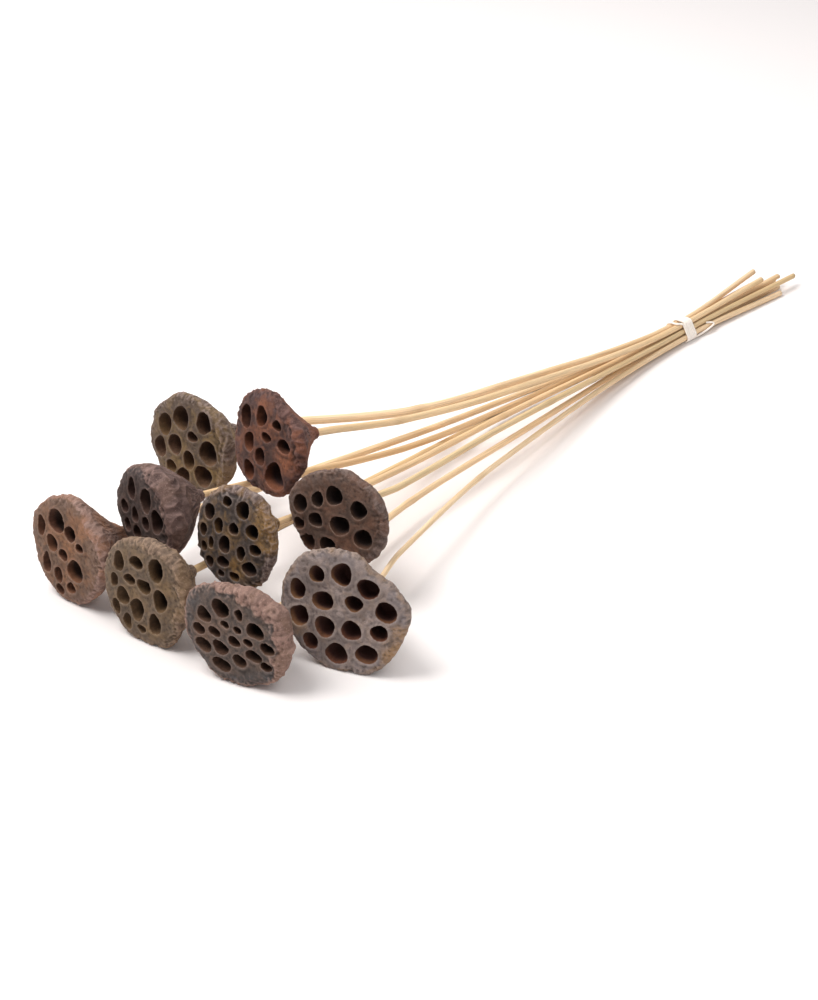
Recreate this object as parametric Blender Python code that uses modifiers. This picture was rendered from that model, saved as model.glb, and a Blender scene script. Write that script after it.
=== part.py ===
"""A tied bunch of nine dried lotus pods on sticks, lying on a surface.

Blender 4.5, metres, +Z up. The bunch lies along X, with the pods at -X and the
cut ends of the sticks at +X. Each pod, each stick and the elastic tie is one
object. Lengths in the tables below are millimetres, angles are degrees.
"""

from math import atan2, cos, exp, hypot, pi, radians, sin
from typing import NamedTuple

import bmesh
import bpy
from mathutils import Matrix, Vector, noise

MM = 0.001

# The waist, where the tie holds the sticks in three staggered rows.
STICK_RADIUS = 1.8
SLOT_PITCH = 3.9
ROW_RISE = SLOT_PITCH * 0.866
WAIST_FLOOR_GAP = 2.6
WAIST_Y = -2.9
TAPER_LENGTH = 350.0
STICK_SIDES_LEVEL = 2
STEPS_PER_SPAN = 5

# The joint between a pod and its stick.
SOCKET_DEPTH = 9.0
SOCKET_CLEARANCE = 0.3
NECK_WALL = 1.3
COLLAR_SWELL = 0.5

# The elastic tie: a flat band, and a stray end that hooks round the lowest stick.
TIE_WIDTH = 10.0
TIE_MIDDLE = -3.4
TIE_THICKNESS = 1.1
TIE_GAP = 0.3
TIE_POINTS = 32
STRAND_RADIUS = 0.75
STRAND_POINTS = 15
STRAND_REACH = 21.0
STRAND_RETURN = 5.0
STRAND_START = 262.0
STRAND_END = 130.0

# A pod's section, as shares of its radius and of its funnel's depth.
FACE_DOME = 0.9
SECTION = (
    (0.45, 0.015), (0.78, 0.0), (0.93, -0.02), (1.0, -0.075), (0.985, -0.15),
    (0.87, -0.26), (0.67, -0.41), (0.46, -0.57), (0.30, -0.71), (0.22, -0.82),
)
POD_STEPS = 27
PIT_SIDES = 9
PIT_DEPTH = 11.0
PIT_FLOOR_SHARE = 0.55
# A plug narrows below its top, so it starts this much wider than the hole is at the face.
PIT_FLARE = 1.10
PIT_LEAN = 0.80
# The floor presses this much of each lowest pod flat.
FLAT_SPOT = 0.7


class Pod(NamedTuple):
    """Where a pod lies, how it faces, and how its stick runs."""

    centre: tuple
    radius: float
    wide: float
    azimuth: float
    elevation: float
    deep: float
    stick_radius: float
    slot: tuple
    via: tuple
    end: tuple
    ribs: int
    colour: tuple
    lobes: tuple = ()
    full: float = 0.0


# Azimuth turns the face from -X towards +Y, and elevation tips it up. Lobes are places
# where the rim stands out or falls in, as a direction seen from in front and a share of
# the radius. Full is how much fatter than the plain section the funnel is.
PODS = {
    "pod_1": Pod((-471.8, 53.2, 28.8), 29.5, 1.03, 5, 6, 40, 2.3, (2.0, 0),
                 ((-253, 19, 19), (-156, 24, 5)), (100, 10, 2.5), 13, (0.23, 0.14, 0.10),
                 ((60, -0.09), (-48, -0.10))),
    "pod_2": Pod((-475.5, -6.3, 27.8), 28.5, 1.02, -3, 4, 36, 2.1, (1.0, 0),
                 ((-274, 1, 17), (-171, 12, 6)), (112, 3, 2.5), 12, (0.20, 0.14, 0.08),
                 ((-75, 0.05), (-22, -0.10)), 0.08),
    "pod_3": Pod((-442.6, 27.8, 48.4), 24.6, 1.02, 11, 4, 38, 1.9, (1.5, 1),
                 ((-264, 13, 18), (-188, -1, 19)), (81, 2, 9), 11, (0.13, 0.09, 0.08),
                 ((110, -0.09), (205, 0.05), (-20, 0.08)), 0.20),
    "pod_4": Pod((-370, 68, 44.5), 28, 1.04, -1, 6, 36, 2.6, (1.0, 2),
                 ((-250, 21, 34), (-179, 6, 29)), (92, 7, 14), 14, (0.20, 0.14, 0.09),
                 ((75, -0.06), (20, 0.04), (-95, 0.13)), 0.08),
    "pod_5": Pod((-378, 2, 70.6), 27.5, 1.0, 8, 9, 34, 2.1, (0.0, 2),
                 ((-284, -8, 51), (-204, -13, 39)), (86, -3, 13), 12, (0.20, 0.09, 0.05),
                 ((66, -0.21), (118, 0.05), (226, 0.16), (-85, 0.02))),
    "pod_6": Pod((-432, -25, 48), 26, 0.95, -4, 12, 35, 1.9, (0.5, 1),
                 ((-290, -12, 25), (-203, -13, 24)), (108, -2, 8), 13, (0.12, 0.09, 0.07),
                 ((-48, 0.11), (175, 0.03))),
    "pod_7": Pod((-473.6, -64.7, 26.5), 26.8, 1.06, -10, 8, 36, 1.95, (0.0, 0),
                 ((-309, -29, 15), (-214, -21, 13)), (104, -5, 2.5), 12, (0.17, 0.11, 0.09),
                 ((107, -0.13), (148, 0.15), (35, 0.05), (-135, -0.07), (-60, 0.04)), 0.10),
    "pod_8": Pod((-382.6, -51, 47), 26, 1.02, -14, 8, 34, 2.0, (-0.5, 1),
                 ((-325, -42, 39), (-225, -29, 30)), (116, -9, 7.5), 11, (0.12, 0.09, 0.08),
                 ((75, -0.07), (163, 0.15), (-135, 0.05))),
    "pod_9": Pod((-430.3, -95.7, 32), 33, 1.02, -17, 9, 36, 1.5, (-1.0, 0),
                 ((-358, -70, 24), (-235, -38, 17)), (96, -12, 2.5), 14, (0.17, 0.13, 0.13),
                 ((58, -0.23), (105, -0.03), (185, 0.05))),
}

# The seed holes of each pod, seen from in front of its face: right, up, wide, high.
PITS = {
    "pod_1": (
        (-20.5, 8, 7, 10.5), (-8, 15, 12.5, 11.5), (3.5, 11.5, 9, 7.5),
        (-10.5, 1.5, 8.5, 8.5), (-15, -11.5, 7, 10.5), (-1, -2, 7, 5.5),
        (12, 6.5, 6, 4), (9, -8, 12.5, 11), (-5, -15, 6.5, 8.5),
        (-4, -23.5, 7, 5.5), (5.5, -19, 7, 5.5),
    ),
    "pod_2": (
        (-17, 14, 7, 10.5), (-4.5, 17, 9, 6), (8.5, 16.5, 9, 12), (-20, 2.5, 5, 7),
        (-9.5, 6, 7.5, 5), (0.5, 5, 9.5, 7), (-13.5, -4.5, 8.5, 9), (-19, -12.5, 5.5, 8.5),
        (-4, -9.5, 9, 11), (11.5, 0.5, 8.5, 11.5), (-11.5, -19, 6, 8.5),
        (-1, -19.5, 6, 4), (8, -14, 7.5, 10.5),
    ),
    "pod_3": (
        (-8.5, 10, 7, 11), (5, 8.5, 9, 12), (-15, -2.5, 6.5, 6.5),
        (-4.5, -3.5, 6, 7.5), (5.5, -4.5, 6, 6.5), (15, 0, 9.5, 11.5),
        (-2.5, -13.5, 8, 7.5), (-12.5, -12.5, 6.5, 6.5), (7.5, -14, 5.5, 4.5),
        (15, -11.5, 4.5, 4),
    ),
    "pod_4": (
        (-5, 15, 10.5, 12.5), (-16.5, 8, 9, 12), (12, 16.5, 10, 12),
        (-20, -6.5, 9, 11), (-8, -1.5, 9, 10.5), (4.5, 6.5, 7.5, 5),
        (16.5, 0, 12, 12.5), (2.5, -8, 7.5, 10), (-11, -15.5, 7.5, 6.5),
        (-1.5, -19, 9, 9.5), (13, -15, 12, 12),
    ),
    "pod_5": (
        (-18, 9, 8.5, 12), (-5, 13, 8, 10), (7.5, 12, 6.5, 5), (-13, -4, 7.5, 9.5),
        (0.5, 3, 7, 4.5), (14.5, 2.5, 10, 6.5), (-3, -9, 7.5, 8.5), (-11.5, -20, 8.5, 10),
        (9.5, -16.5, 14, 13.5),
    ),
    "pod_6": (
        (-16.5, 9.5, 7, 8), (-5.5, 18, 6, 5), (5, 16, 8, 9), (-9, 4, 5.5, 7.5),
        (1, 5, 6, 5.5), (12.5, 6.5, 8, 7), (-19, -1, 4.5, 6.5), (-13, -6.5, 3.5, 6),
        (-4, -5, 7, 8.5), (7, -6.5, 5, 7), (15.5, -2.5, 7.5, 5), (-18, -10, 4.5, 5),
        (-13, -17, 5.5, 5.5), (-4, -14.5, 7.5, 5.5), (13, -13.5, 9, 6.5),
        (4, -20.5, 7, 4.5), (-5, -21.5, 4.5, 3.5),
    ),
    "pod_7": (
        (-8.5, 12.5, 9, 9), (-18, 7, 8.5, 7.5), (2.5, 12, 4, 6), (-20.5, -1.5, 7, 5.5),
        (-11, -0.5, 6.5, 5), (-5, 5, 4.5, 3.5), (2.5, 4, 4.5, 3.5), (12.5, 6, 9.5, 7.5),
        (-17.5, -9.5, 9, 7), (-7, -8, 9, 6.5), (1, -2.5, 6.5, 5), (9, -1, 5, 3.5),
        (20, -1.5, 7.5, 5.5), (12.5, -7.5, 9, 6), (-6, -17, 10, 7), (4.5, -12.5, 7, 6.5),
        (19.5, -11.5, 6, 4.5),
    ),
    "pod_8": (
        (-3.5, 12, 9.5, 9.5), (-13, 8, 6, 8), (-23, 3.5, 8, 9), (11, 7, 9, 9),
        (-13.5, -3.5, 8, 7), (1, -3.5, 10.5, 9.5), (-24, -8, 6.5, 6.5),
        (14.5, -8.5, 10, 10), (-18, -17.5, 8, 9), (-6, -16, 9, 7.5),
    ),
    "pod_9": (
        (-15.5, 17, 8, 8), (-2, 19.5, 10.5, 11), (12.5, 14.5, 11.5, 9.5),
        (-26, 7, 8.5, 10), (-11.5, 3.5, 11.5, 9), (5.5, 5.5, 9, 7.5), (23, 4, 11.5, 10),
        (-24, -7, 10, 10), (-9.5, -10, 10, 10.5), (5, -9, 10, 9.5),
        (20, -7.5, 9, 8), (-17.5, -20, 8, 9), (-2.5, -23.5, 11.5, 11),
        (14, -20.5, 11.5, 9.5),
    ),
}

STRAW = (0.55, 0.40, 0.22)
ELASTIC = (0.86, 0.80, 0.70)


def clear_scene():
    for obj in list(bpy.data.objects):
        bpy.data.objects.remove(obj, do_unlink=True)


def material(name, colour, roughness):
    mat = bpy.data.materials.new(name)
    mat.use_nodes = True
    shader = mat.node_tree.nodes["Principled BSDF"]
    shader.inputs["Base Color"].default_value = (*colour, 1.0)
    shader.inputs["Roughness"].default_value = roughness
    shader.inputs["Metallic"].default_value = 0.0
    mat.diffuse_color = (*colour, 1.0)
    return mat


def smooth_step(low, high, value):
    t = min(max((value - low) / (high - low), 0.0), 1.0)
    return t * t * (3.0 - 2.0 * t)


def facing(pod):
    """The turn that puts a pod's face, its local +Z, where it looks, with local +Y up."""
    az = radians(pod.azimuth)
    el = radians(pod.elevation)
    normal = Vector((-cos(az) * cos(el), sin(az) * cos(el), sin(el)))
    up = (Vector((0, 0, 1)) - normal * normal.z).normalized()
    right = up.cross(normal)
    return Matrix((right, up, normal)).transposed()


def slot_point(pod, along=0.0):
    """The place of a pod's stick in the waist."""
    place, row = pod.slot
    y = place * SLOT_PITCH + WAIST_Y
    z = WAIST_FLOOR_GAP + STICK_RADIUS + row * ROW_RISE
    return Vector((along, y, z))


def stick_start(pod):
    """(the neck's end, the direction in which the stick leaves it)."""
    axis = -(facing(pod) @ Vector((0, 0, 1)))
    neck = Vector(pod.centre) + axis * pod.deep
    onward = (Vector(pod.via[0]) - neck).normalized()
    return neck, (onward * 0.6 + axis * 0.4).normalized()


def smooth_path(points, tangents, steps):
    """A Hermite curve through the points, with each tangent as long as its span."""
    path = []
    for k in range(len(points) - 1):
        a, b = points[k], points[k + 1]
        span = (b - a).length
        for i in range(steps):
            t = i / steps
            path.append(
                a * (2 * t**3 - 3 * t**2 + 1)
                + tangents[k] * (span * (t**3 - 2 * t**2 + t))
                + b * (3 * t**2 - 2 * t**3)
                + tangents[k + 1] * (span * (t**3 - t**2))
            )
    return path + [points[-1]]


def stick_path(pod):
    """The stick's centre line, from inside the socket to its cut end."""
    neck, leave = stick_start(pod)
    first, second = (Vector(p) for p in pod.via)
    waist = slot_point(pod)
    end = Vector(pod.end)
    points = [neck, first, second, waist, end]
    tangents = [
        leave,
        (second - neck).normalized(),
        (waist - first).normalized(),
        Vector((1, 0, 0)),
        (end - waist).normalized(),
    ]
    inside = [neck - leave * SOCKET_DEPTH, neck - leave * SOCKET_DEPTH * 0.5]
    return inside + smooth_path(points, tangents, STEPS_PER_SPAN)


def stick_radius_at(pod, x):
    """A stick is thicker towards its pod."""
    share = min(max(-x / TAPER_LENGTH, 0.0), 1.0)
    return STICK_RADIUS + (pod.stick_radius - STICK_RADIUS) * share


def rim_share(pod, angle, seed, pits):
    """How far the rim stands out at this angle: slow lobes, and a bulge at each outer hole."""
    share = 1.0
    for waves, size in ((2, 0.016), (3, 0.020), (5, 0.012)):
        share += size * sin(waves * angle + seed * 1.7 + waves)
    for x, y, wide, high in pits:
        out = hypot(x, y) + 0.25 * (wide + high)
        if out > 0.80 * pod.radius:
            apart = (angle - atan2(y, x) + pi) % (2 * pi) - pi
            share += 0.028 * exp(-((apart / 0.22) ** 2))
    for toward, amount in pod.lobes:
        apart = (angle - radians(toward) + pi) % (2 * pi) - pi
        share += amount * exp(-((apart / 0.5) ** 2))
    return share


def shape_pod(mesh, pod, seed, pits):
    """Bends a turned pod into its real, uneven form. The mesh is in millimetres here."""
    turn = facing(pod)
    leave = turn.inverted() @ stick_start(pod)[1]
    neck_from = 0.55 * pod.deep
    for vert in mesh.vertices:
        x, y, z = vert.co
        out = hypot(x, y)
        depth = -z
        angle = atan2(y, x)
        body = smooth_step(0.30, 0.8, out / pod.radius)
        side = smooth_step(1.0, 8.0, depth) * (1.0 - smooth_step(0.6, 0.95, depth / pod.deep))
        scale = 1.0 + (rim_share(pod, angle, seed, pits) - 1.0) * body
        scale *= 1.0 + 0.03 * side * sin(pod.ribs * angle + 2.0 * sin(3 * angle + seed))
        x *= scale * (1.0 + (pod.wide - 1.0) * body)
        y *= scale
        rough = noise.noise(Vector((x * 0.11, y * 0.11, seed * 7.3 + z * 0.05)))
        z += (1.1 if depth < 4.0 else 0.6) * rough * (1.0 - smooth_step(0.7, 0.9, depth / pod.deep))
        if depth > neck_from:
            reach = (depth - neck_from) ** 2 / (2.0 * (pod.deep - neck_from))
            x += reach * leave.x / -leave.z
            y += reach * leave.y / -leave.z
        vert.co = (x, y, z)


def press_flat(mesh, pod):
    """Flattens what lies under the floor, as the pod's own weight does."""
    turn = facing(pod)
    back = turn.inverted()
    centre = Vector(pod.centre)
    for vert in mesh.vertices:
        world = turn @ vert.co + centre
        if world.z < FLAT_SPOT:
            world.z = FLAT_SPOT
            vert.co = back @ (world - centre)


def turned_body(name, pod):
    """A pod's section turned about its axis with a Screw modifier, as a mesh in millimetres."""
    neck = pod.stick_radius + SOCKET_CLEARANCE + NECK_WALL
    section = [(0.0, FACE_DOME)]
    for share, height in SECTION:
        down = min(max((-height - 0.075) / 0.85, 0.0), 1.0)
        share += pod.full * 4.0 * down * (1.0 - down)
        section.append((share * pod.radius, height * pod.deep))
    section += [
        (neck * 1.08, -pod.deep + 4.5),
        (neck, -pod.deep + 2.8),
        (neck + COLLAR_SWELL, -pod.deep + 1.3),
        (neck * 0.95, -pod.deep),
        (0.0, -pod.deep),
    ]
    profile = bpy.data.meshes.new(name + "_section")
    profile.from_pydata(
        [(r * MM, 0.0, z * MM) for r, z in section],
        [(i, i + 1) for i in range(len(section) - 1)],
        [],
    )
    helper = bpy.data.objects.new(name + "_turning", profile)
    bpy.context.scene.collection.objects.link(helper)
    screw = helper.modifiers.new("Screw", "SCREW")
    screw.steps = screw.render_steps = POD_STEPS
    screw.use_merge_vertices = True
    screw.merge_threshold = 0.00001
    mesh = evaluated_mesh(helper)
    mesh.transform(Matrix.Scale(1 / MM, 4))
    return mesh


def evaluated_mesh(helper):
    """The mesh that a helper object evaluates to. The helper is removed."""
    bpy.context.view_layer.update()
    graph = bpy.context.evaluated_depsgraph_get()
    mesh = bpy.data.meshes.new_from_object(helper.evaluated_get(graph))
    mesh.transform(helper.matrix_world)
    bpy.data.objects.remove(helper, do_unlink=True)
    work = bmesh.new()
    work.from_mesh(mesh)
    bmesh.ops.remove_doubles(work, verts=work.verts, dist=1e-6)
    bmesh.ops.recalc_face_normals(work, faces=work.faces)
    work.to_mesh(mesh)
    work.free()
    return mesh


def pit_cutter(name, pod, seed, pits):
    """One mesh with a leaning, tapered plug for each seed hole, and the stick's socket."""
    work = bmesh.new()
    top = FACE_DOME + 2.0
    for number, (x, y, wide, high) in enumerate(pits):
        made = bmesh.ops.create_cone(
            work, cap_ends=True, cap_tris=False, segments=PIT_SIDES,
            radius1=0.5 * PIT_FLOOR_SHARE, radius2=0.5, depth=1.0,
        )
        depth = PIT_DEPTH * min(1.0, 0.45 + 0.06 * (wide + high))
        for vert in made["verts"]:
            down = 0.5 - vert.co.z
            angle = atan2(vert.co.y, vert.co.x)
            uneven = 1.0 + 0.07 * sin(3 * angle + seed + 2.1 * number)
            lean = 1.0 - (1.0 - PIT_LEAN) * down
            vert.co.x = x * lean + vert.co.x * wide * PIT_FLARE * uneven
            vert.co.y = y * lean + vert.co.y * high * PIT_FLARE * uneven
            vert.co.z = top - down * (depth + top)
    turn = facing(pod)
    neck, leave = stick_start(pod)
    socket = bmesh.ops.create_cone(
        work, cap_ends=True, cap_tris=False, segments=12,
        radius1=pod.stick_radius + SOCKET_CLEARANCE,
        radius2=pod.stick_radius + SOCKET_CLEARANCE,
        depth=SOCKET_DEPTH + 1.0 + 4.0,
    )
    local_way = turn.inverted() @ leave
    local_neck = neck_end(pod)
    middle = local_neck + local_way * (4.0 - 0.5 * (SOCKET_DEPTH + 1.0 + 4.0))
    place = Matrix.Translation(middle) @ local_way.to_track_quat("Z", "Y").to_matrix().to_4x4()
    bmesh.ops.transform(work, matrix=place, verts=socket["verts"])
    bmesh.ops.recalc_face_normals(work, faces=work.faces)
    mesh = bpy.data.meshes.new(name + "_pits")
    work.to_mesh(mesh)
    work.free()
    mesh.transform(Matrix.Scale(MM, 4))
    return mesh


def neck_end(pod):
    """The middle of the neck's end, after the bend of shape_pod, in the pod's own axes."""
    leave = facing(pod).inverted() @ stick_start(pod)[1]
    reach = (pod.deep - 0.55 * pod.deep) / 2.0
    return Vector((reach * leave.x / -leave.z, reach * leave.y / -leave.z, -pod.deep))


def add_pod(name, pod, seed, parent, cutters):
    pits = PITS[name]
    mesh = turned_body(name, pod)
    shape_pod(mesh, pod, seed, pits)
    press_flat(mesh, pod)
    mesh.transform(Matrix.Scale(MM, 4))
    mesh.materials.clear()
    mesh.materials.append(material(name + "_husk", pod.colour, 0.85))
    obj = bpy.data.objects.new(name, mesh)
    bpy.context.scene.collection.objects.link(obj)
    obj.matrix_world = Matrix.Translation(Vector(pod.centre) * MM) @ facing(pod).to_4x4()
    obj.parent = parent

    cutter = bpy.data.objects.new(name + "_pits", pit_cutter(name, pod, seed, pits))
    cutters.objects.link(cutter)
    cutter.parent = obj
    cutter.hide_render = True
    cutter.display_type = "WIRE"
    cut = obj.modifiers.new("Seed holes", "BOOLEAN")
    cut.operation = "DIFFERENCE"
    cut.solver = "EXACT"
    cut.object = cutter
    return obj


def add_stick(name, pod, path, mat, parent):
    curve = bpy.data.curves.new(name, "CURVE")
    curve.dimensions = "3D"
    curve.bevel_depth = MM
    curve.bevel_resolution = STICK_SIDES_LEVEL
    curve.use_fill_caps = True
    curve.twist_mode = "MINIMUM"
    spline = curve.splines.new("POLY")
    spline.points.add(len(path) - 1)
    for point, place in zip(spline.points, path):
        point.co = (*(place * MM), 1.0)
        point.radius = stick_radius_at(pod, place.x)
    curve.materials.append(mat)
    obj = bpy.data.objects.new(name, curve)
    bpy.context.scene.collection.objects.link(obj)
    obj.parent = parent
    return obj


def crossings(paths, x):
    """(y, z, radius) of each stick where it passes this x."""
    found = []
    for pod, path in paths:
        for a, b in zip(path[:-1], path[1:]):
            if a.x <= x <= b.x:
                t = (x - a.x) / (b.x - a.x)
                place = a.lerp(b, t)
                found.append((place.y, place.z, stick_radius_at(pod, x)))
                break
    return found


def wrap_point(circles, angle, out):
    """Where a line stretched round the circles, this far out, meets the given direction."""
    y, z, radius = max(circles, key=lambda c: c[0] * cos(angle) + c[1] * sin(angle) + c[2])
    return Vector((0, y + (radius + out) * cos(angle), z + (radius + out) * sin(angle)))


def tie_band(paths):
    """The flat band: the outline round the sticks, filled between two offsets and extruded."""
    curve = bpy.data.curves.new("tie_band", "CURVE")
    curve.dimensions = "2D"
    curve.fill_mode = "BOTH"
    curve.extrude = TIE_WIDTH * MM / 2
    half = TIE_WIDTH / 2
    circles = crossings(paths, TIE_MIDDLE)
    spread = crossings(paths, TIE_MIDDLE + half) + crossings(paths, TIE_MIDDLE - half)
    for out in (TIE_GAP, TIE_GAP + TIE_THICKNESS):
        spline = curve.splines.new("POLY")
        spline.points.add(TIE_POINTS - 1)
        spline.use_cyclic_u = True
        for i, point in enumerate(spline.points):
            place = wrap_point(circles + spread, 2 * pi * i / TIE_POINTS, out)
            point.co = (place.y * MM, place.z * MM, 0.0, 1.0)
    helper = bpy.data.objects.new("tie_band", curve)
    bpy.context.scene.collection.objects.link(helper)
    # The curve's plane becomes the plane across the sticks.
    across = Matrix(((0, 0, 1, 0), (1, 0, 0, 0), (0, 1, 0, 0), (0, 0, 0, 1)))
    helper.matrix_world = Matrix.Translation((TIE_MIDDLE * MM, 0, 0)) @ across
    return evaluated_mesh(helper)


def tie_strand(paths):
    """The stray end, which leaves the band under the sticks and hooks up over the lowest one."""
    curve = bpy.data.curves.new("tie_strand", "CURVE")
    curve.dimensions = "3D"
    curve.bevel_depth = STRAND_RADIUS * MM
    curve.bevel_resolution = 1
    curve.use_fill_caps = True
    spline = curve.splines.new("POLY")
    spline.points.add(STRAND_POINTS - 1)
    root_x = TIE_MIDDLE + TIE_WIDTH / 2 - 2.0
    for i, point in enumerate(spline.points):
        t = i / (STRAND_POINTS - 1)
        angle = radians(STRAND_START + (STRAND_END - STRAND_START) * t)
        x = root_x + STRAND_REACH * smooth_step(0.0, 0.65, t)
        x -= STRAND_RETURN * smooth_step(0.70, 1.0, t)
        circles = crossings(paths, x) + crossings(paths, x + 1.5)
        place = wrap_point(circles, angle, TIE_GAP + STRAND_RADIUS)
        point.co = (x * MM, place.y * MM, place.z * MM, 1.0)
    helper = bpy.data.objects.new("tie_strand", curve)
    bpy.context.scene.collection.objects.link(helper)
    return evaluated_mesh(helper)


def add_tie(paths, parent, cutters):
    mesh = tie_band(paths)
    mesh.materials.clear()
    mesh.materials.append(material("elastic", ELASTIC, 0.6))
    obj = bpy.data.objects.new("tie", mesh)
    bpy.context.scene.collection.objects.link(obj)
    obj.parent = parent
    strand = bpy.data.objects.new("tie_strand_shape", tie_strand(paths))
    cutters.objects.link(strand)
    strand.parent = obj
    strand.hide_render = True
    strand.display_type = "WIRE"
    join = obj.modifiers.new("Stray end", "BOOLEAN")
    join.operation = "UNION"
    join.solver = "EXACT"
    join.object = strand
    return obj


def centre_on_floor(root, nodes):
    """Moves the bunch so that the middle of its box is over the origin and its foot at z = 0."""
    bpy.context.view_layer.update()
    graph = bpy.context.evaluated_depsgraph_get()
    low = Vector((1e9, 1e9, 1e9))
    high = -low
    for obj in nodes:
        evaluated = obj.evaluated_get(graph)
        mesh = evaluated.to_mesh()
        for vert in mesh.vertices:
            place = evaluated.matrix_world @ vert.co
            low = Vector(map(min, low, place))
            high = Vector(map(max, high, place))
        evaluated.to_mesh_clear()
    root.location = (-(low.x + high.x) / 2, -(low.y + high.y) / 2, -low.z)


def main():
    clear_scene()
    root = bpy.data.objects.new("bunch", None)
    bpy.context.scene.collection.objects.link(root)
    cutters = bpy.data.collections.new("Cutters")
    cutters.hide_render = True
    bpy.context.scene.collection.children.link(cutters)
    straw = material("straw", STRAW, 0.7)
    nodes = []
    paths = []
    for seed, (name, pod) in enumerate(PODS.items(), start=1):
        path = stick_path(pod)
        shift = Vector(pod.centre) + facing(pod) @ neck_end(pod) - stick_start(pod)[0]
        path[:3] = [place + shift for place in path[:3]]
        paths.append((pod, path))
        nodes.append(add_pod(name, pod, seed, root, cutters))
        nodes.append(add_stick(name.replace("pod", "stick"), pod, path, straw, root))
    nodes.append(add_tie(paths, root, cutters))
    centre_on_floor(root, nodes)


main()
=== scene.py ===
"""The look of the tied bunch of dried lotus pods: husks, straw sticks, elastic tie, floor and light.

Blender 4.5. Each pod's detailed husk is grown from its solid, so it stays in the solid's place.
Lengths in the tables and in the shaping code are millimetres, angles are degrees.
"""

from math import cos, pi, radians, sin
from typing import NamedTuple

import bpy
import numpy as np
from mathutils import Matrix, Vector
from mathutils.bvhtree import BVHTree
from mathutils.kdtree import KDTree


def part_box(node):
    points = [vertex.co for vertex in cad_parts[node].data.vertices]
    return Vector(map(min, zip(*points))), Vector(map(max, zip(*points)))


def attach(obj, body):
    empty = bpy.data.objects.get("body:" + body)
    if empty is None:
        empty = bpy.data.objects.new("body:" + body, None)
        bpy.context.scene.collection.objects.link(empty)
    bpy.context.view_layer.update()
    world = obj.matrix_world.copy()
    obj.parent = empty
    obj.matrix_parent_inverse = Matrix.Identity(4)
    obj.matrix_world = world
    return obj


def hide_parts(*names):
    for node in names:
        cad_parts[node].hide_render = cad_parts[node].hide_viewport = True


MM = 0.001
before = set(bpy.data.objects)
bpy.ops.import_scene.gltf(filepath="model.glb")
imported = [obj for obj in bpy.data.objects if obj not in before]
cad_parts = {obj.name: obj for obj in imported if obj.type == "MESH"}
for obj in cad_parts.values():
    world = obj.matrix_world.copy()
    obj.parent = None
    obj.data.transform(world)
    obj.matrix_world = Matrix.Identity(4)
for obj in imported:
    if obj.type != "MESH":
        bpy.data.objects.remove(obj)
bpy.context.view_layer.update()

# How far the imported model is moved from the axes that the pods' places below are written in.
SHIFT = Vector((181.34, 14.44, -0.70))

VOXEL = 0.56
# The thin lip and the low mound round each seed hole, and the ring of painted shade outside the lip.
LIP_WIDTH = 0.46
LIP_HEIGHT = 0.36
MOUND_WIDTH = 1.7
MOUND_HEIGHT = 0.55
MOAT_AT = 1.9
MOAT_WIDTH = 0.8
# How far a hole's wall is pushed back, and how lumpy it is.
WALL_BACK = 0.30
PIT_LUMP = 0.14
# Telling a hole's wall from the husk's outside: the face's least slope, and how rays are cast.
FACE_NORMAL = 0.62
RAY_LIFT = 0.35
WIDEST_HOLE = 17.0
# A patch of points smaller than this, in square millimetres, changes sides.
SPECK_AREA = 12.0
# How far from a hole its new outline still moves the face, and how quickly that fades.
OUTLINE_REACH = 4.0
OUTLINE_FADE = 1.8
OUTLINE_POINTS = 72
RIM_POINTS = 90
# Rounds of smoothing for the face between the holes, and how rough a rolled rim stays.
FACE_ROUNDS = 36
ROLL_CALM = 0.68
BILLOW_HEIGHT = 1.7


class Husk(NamedTuple):
    """A pod's place and facing, as in the solid, and its look."""

    centre: tuple
    azimuth: float
    elevation: float
    radius: float
    deep: float
    ribs: int
    rib_height: float
    shoulder: float
    growth: float
    stretch: tuple
    face: tuple
    edge: tuple
    patch: tuple
    lip: tuple
    wall: tuple
    side: tuple
    streak: tuple
    patches: tuple
    mottle: float
    rolls: tuple
    well: float
    depth_shade: tuple


def srgb(red, green, blue):
    """A colour written as 0 to 255 screen values, as the linear values a shader takes."""
    out = []
    for value in (red, green, blue):
        v = value / 255.0
        out.append(v / 12.92 if v <= 0.04045 else ((v + 0.055) / 1.055) ** 2.4)
    return tuple(out)
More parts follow.
